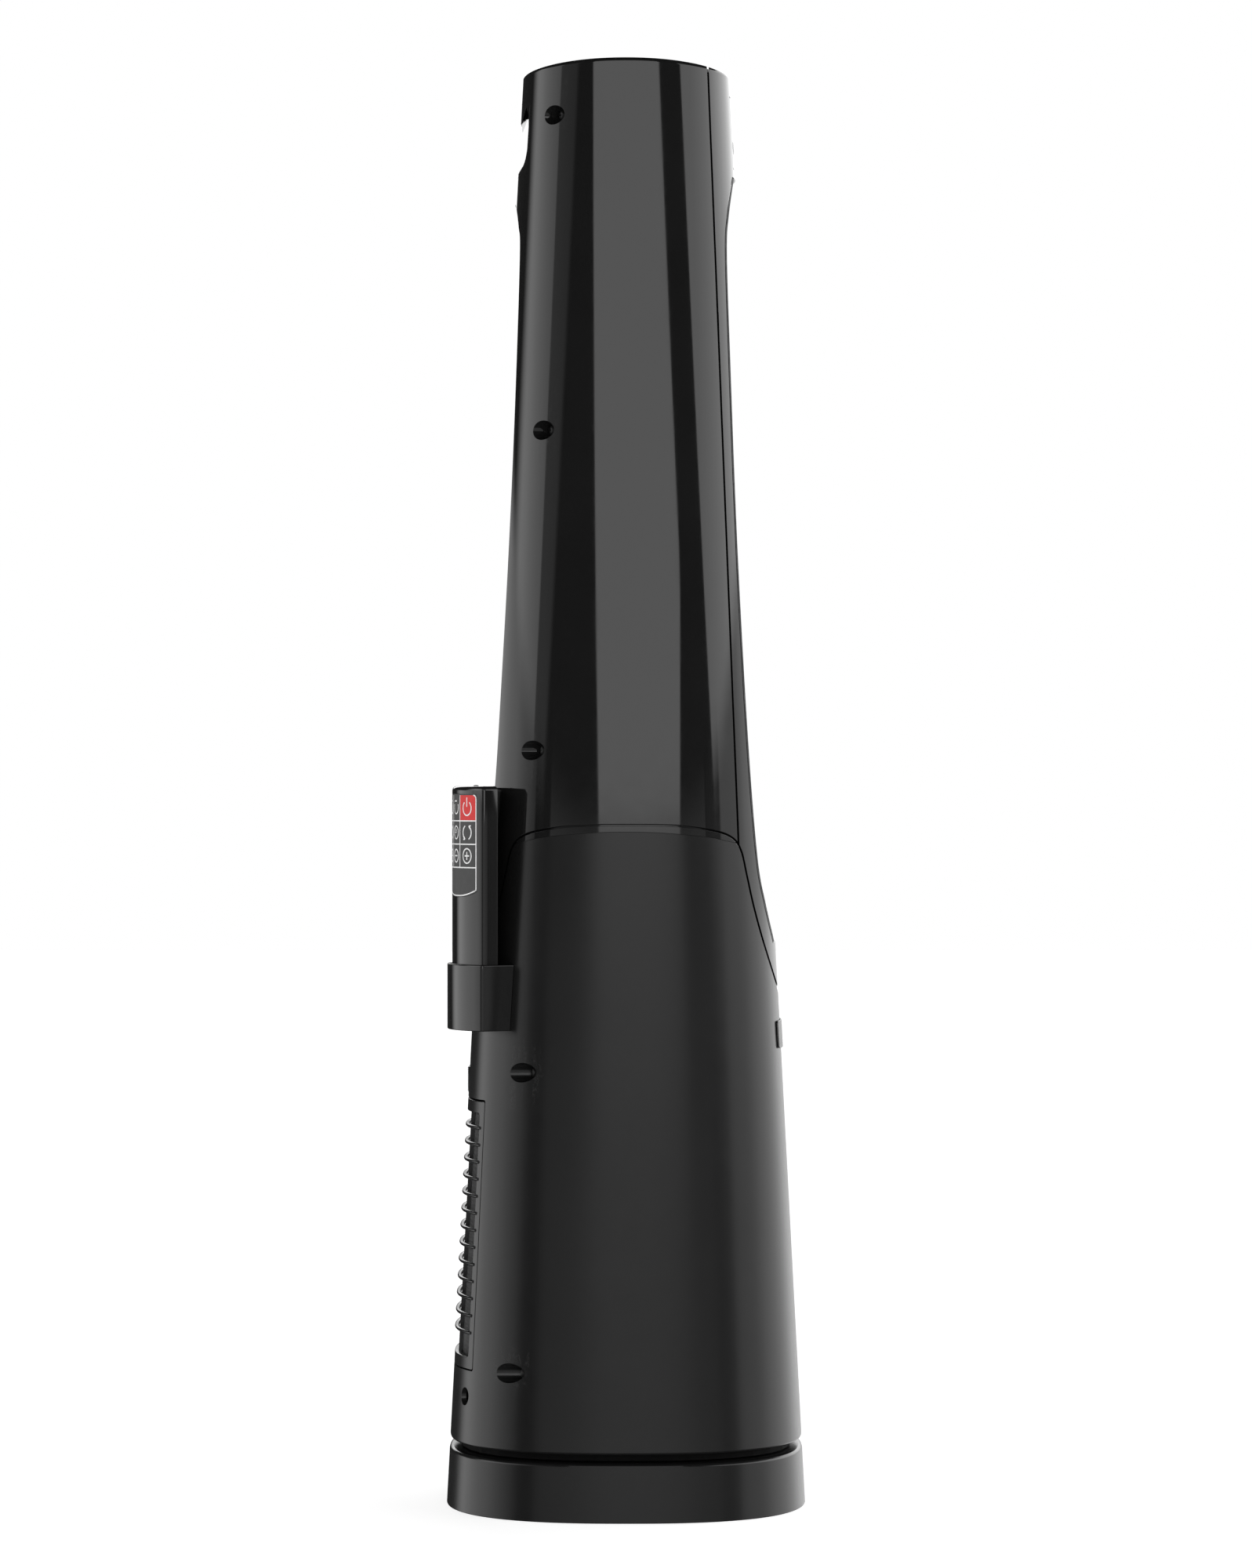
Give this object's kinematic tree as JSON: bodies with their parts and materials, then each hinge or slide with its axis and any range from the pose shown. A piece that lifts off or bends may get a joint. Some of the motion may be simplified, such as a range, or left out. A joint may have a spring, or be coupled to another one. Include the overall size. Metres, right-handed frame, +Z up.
{
  "type": "air purifier",
  "caption": "Tapering tower air purifier on a swivelling base, with a rear intake door and filter, a recessed front outlet, a grip in the back, and a remote control in a side holder.",
  "frame": {"origin": "middle of the base's footprint, on the floor under the foot pads", "axes": "+Z up along the tower, the front with the air outlet faces -Y, the intake door faces +Y, and the remote control sits on the -X side of the back"},
  "size_m": [0.25, 0.25, 1],
  "materials": {
    "satin_black": "satin moulded ABS",
    "gloss_black": "piano gloss",
    "matte_black": "fine matt texture",
    "rubber": "matt",
    "steel": "zinc plated",
    "natural_plastic": "natural acetal and nylon",
    "grey_plastic": "satin",
    "filter_paper": "pleated nonwoven",
    "carbon_cloth": "carbon-loaded nonwoven",
    "circuit_board": "solder mask",
    "key_membrane": "printed polyester",
    "badge_grey": "plain, satin chrome look"
  },
  "bodies": {
    "base": {"base_shell": "satin_black", "base_plate": "matte_black", "foot_pad_1": "rubber", "foot_pad_2": "rubber", "foot_pad_3": "rubber", "foot_pad_4": "rubber", "base_screw_1": "steel", "base_screw_2": "steel", "base_screw_3": "steel", "base_screw_4": "steel", "swing_ring_gear": "natural_plastic", "glide_ring": "natural_plastic", "cord_gland": "rubber"},
    "tower": {"turntable": "matte_black", "thrust_washer": "natural_plastic", "swivel_nut": "steel", "swing_motor": "steel", "lower_housing": "satin_black", "shoulder_collar": "gloss_black", "front_badge": "badge_grey", "column_rear_shell": "gloss_black", "carry_handle": "gloss_black", "column_front_frame": "gloss_black", "outlet_grille": "matte_black", "control_panel": "gloss_black", "panel_board": "circuit_board", "panel_lead": "rubber", "inlet_ring": "matte_black", "fan_diffuser": "grey_plastic", "fan_motor": "steel", "power_board": "circuit_board", "remote_holder": "gloss_black", "housing_screw_1_left": "steel", "housing_screw_1_right": "steel", "housing_screw_2_left": "steel", "housing_screw_2_right": "steel", "column_screw_1_left": "steel", "column_screw_1_right": "steel", "column_screw_2_left": "steel", "column_screw_2_right": "steel", "column_screw_3_left": "steel", "column_screw_3_right": "steel"},
    "swing_pinion": {"swing_pinion": "natural_plastic"},
    "fan": {"impeller": "grey_plastic", "motor_shaft": "steel"},
    "filter_door": {"intake_grille": "satin_black", "filter_frame": "natural_plastic", "filter_media": "filter_paper", "carbon_sheet": "carbon_cloth"},
    "door_latch": {"door_latch": "satin_black"},
    "power_button": {"power_button": "grey_plastic"},
    "speed_button": {"speed_button": "grey_plastic"},
    "timer_button": {"timer_button": "grey_plastic"},
    "swing_button": {"swing_button": "grey_plastic"},
    "remote": {"remote_front": "gloss_black", "remote_back": "gloss_black", "remote_keypad": "key_membrane"},
    "battery_tray": {"battery_tray": "matte_black"}
  },
  "joints": [
    {"name": "tower_swing", "type": "hinge", "parent": "base", "child": "tower", "pos_m": [0, 0, 0.043], "axis": [0, 0, 1], "range_deg": [-35, 35]},
    {"name": "pinion_turn", "type": "hinge", "parent": "tower", "child": "swing_pinion", "pos_m": [0, -0.04, 0.033], "axis": [0, 0, 1], "range_deg": [-130, 130]},
    {"name": "fan_spin", "type": "hinge", "parent": "tower", "child": "fan", "pos_m": [0, 0, 0.338], "axis": [0, 0, 1], "continuous": true},
    {"name": "door_tilt", "type": "hinge", "parent": "tower", "child": "filter_door", "pos_m": [0, 0.121, 0.098], "axis": [-1, 0, 0], "range_deg": [0, 32]},
    {"name": "latch_slide", "type": "slide", "parent": "tower", "child": "door_latch", "axis": [0, 0, 1], "range_m": [0, 0.004], "stiffness_N_per_m": 300, "springref_m": -0.001},
    {"name": "power_press", "type": "slide", "parent": "tower", "child": "power_button", "axis": [0, 1, 0], "range_m": [0, 0.0008], "stiffness_N_per_m": 800, "springref_m": -0.0003},
    {"name": "speed_press", "type": "slide", "parent": "tower", "child": "speed_button", "axis": [0, 1, 0], "range_m": [0, 0.0008], "stiffness_N_per_m": 800, "springref_m": -0.0003},
    {"name": "timer_press", "type": "slide", "parent": "tower", "child": "timer_button", "axis": [0, 1, 0], "range_m": [0, 0.0008], "stiffness_N_per_m": 800, "springref_m": -0.0003},
    {"name": "swing_press", "type": "slide", "parent": "tower", "child": "swing_button", "axis": [0, 1, 0], "range_m": [0, 0.0008], "stiffness_N_per_m": 800, "springref_m": -0.0003},
    {"name": "remote_lift", "type": "slide", "parent": "tower", "child": "remote", "axis": [0, 0, 1], "range_m": [0, 0.12]},
    {"name": "tray_slide", "type": "slide", "parent": "remote", "child": "battery_tray", "axis": [0, 0, -1], "range_m": [0, 0.026]}
  ],
  "couplings": [
    {"joint": "pinion_turn", "follows": "tower_swing", "ratio": -3.6667}
  ]
}
